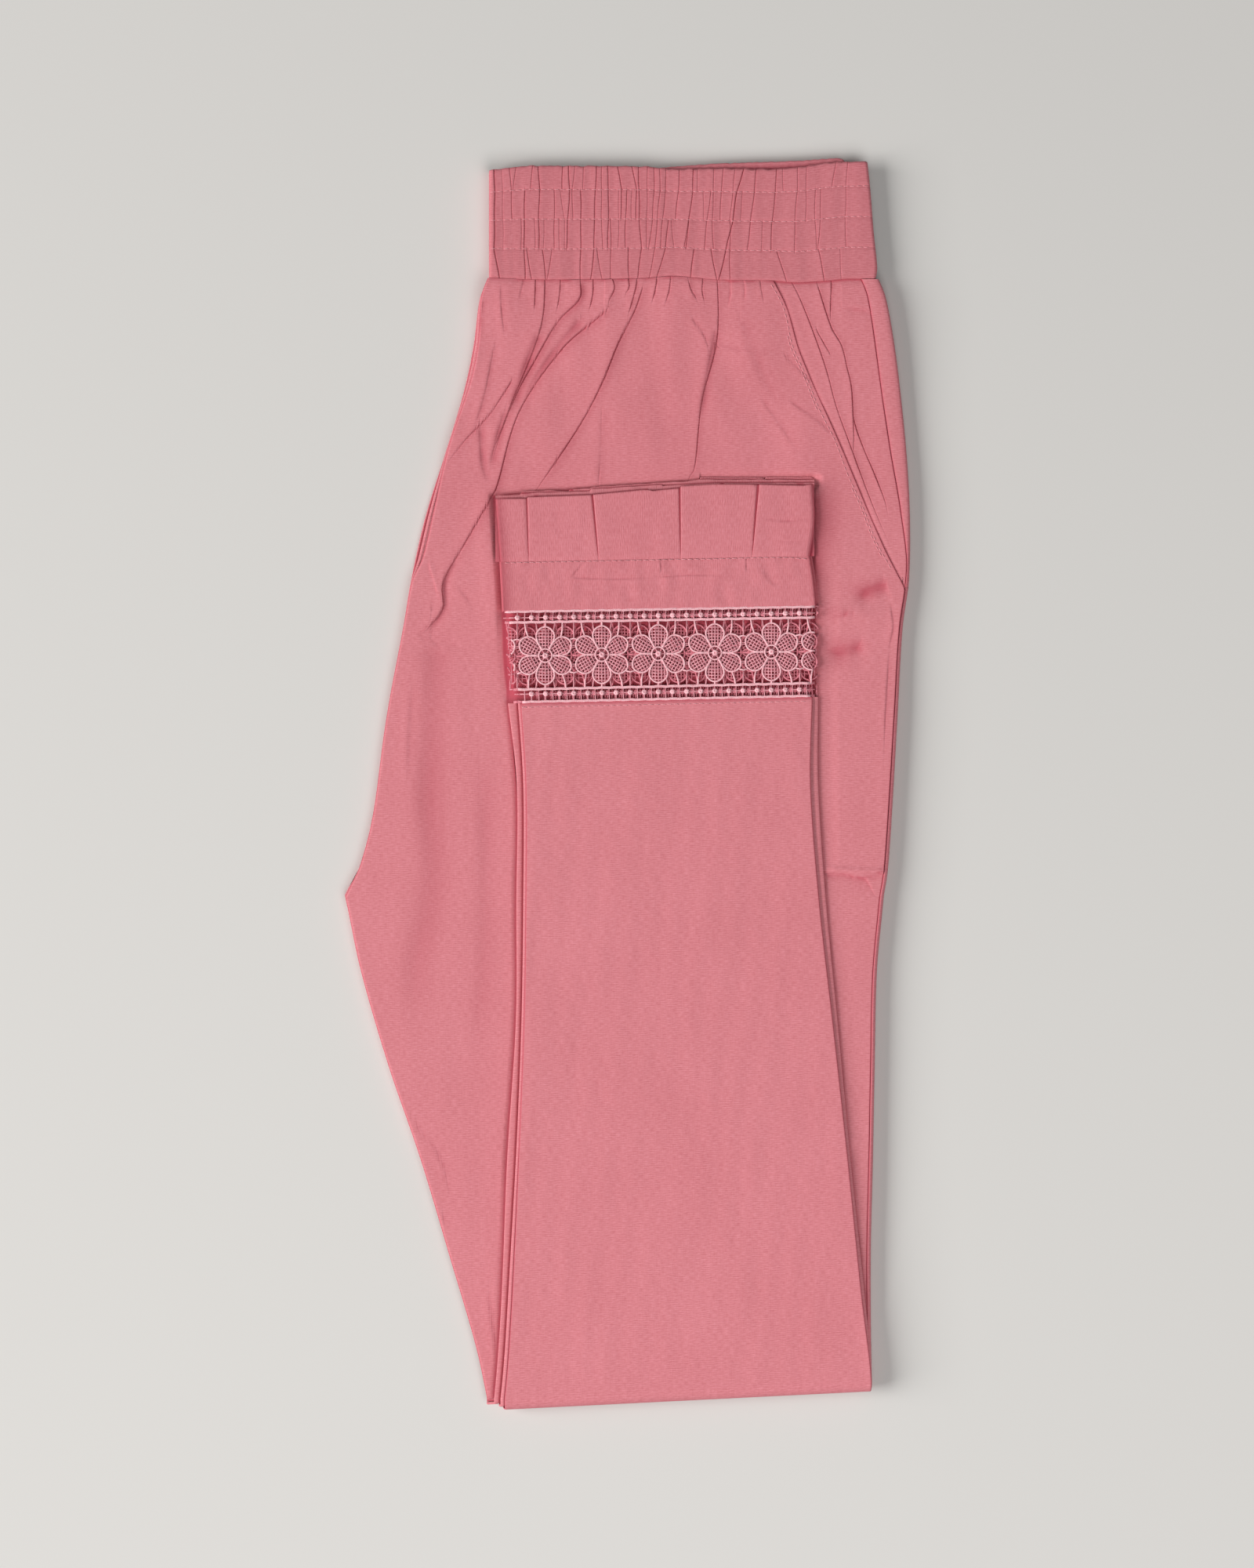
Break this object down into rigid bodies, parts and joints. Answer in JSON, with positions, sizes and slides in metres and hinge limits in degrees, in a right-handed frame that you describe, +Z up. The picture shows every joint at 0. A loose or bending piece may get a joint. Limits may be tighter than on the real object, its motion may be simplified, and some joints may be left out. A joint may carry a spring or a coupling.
{
  "type": "straight pants",
  "caption": "Straight pull-on pants with a gathered waistband, slanted pockets, flower lace and pleated frills at the hems, folded flat in half and up at the knee.",
  "frame": {"origin": "centre of the folded pants' footprint, on the surface that they lie on", "axes": "+Y towards the waistband, +X towards the side seams, +Z up from the surface"},
  "size_m": [0.2602, 0.5747, 0.0125],
  "materials": {
    "cloth": "matt",
    "waistband": "matt",
    "lace": "soft sheen"
  },
  "bodies": {
    "root": {"waistband_front": "waistband", "waistband_back": "waistband", "left_front": "cloth", "left_pocket_side": "cloth", "back_panels": "cloth", "right_front": "cloth", "right_pocket_side": "cloth", "lace_right_front": "lace", "lace_right_back": "lace", "lace_left": "lace", "hem_band_right_front": "cloth", "hem_band_under": "cloth", "frill_right_front": "cloth", "frill_under": "cloth"}
  },
  "joints": []
}
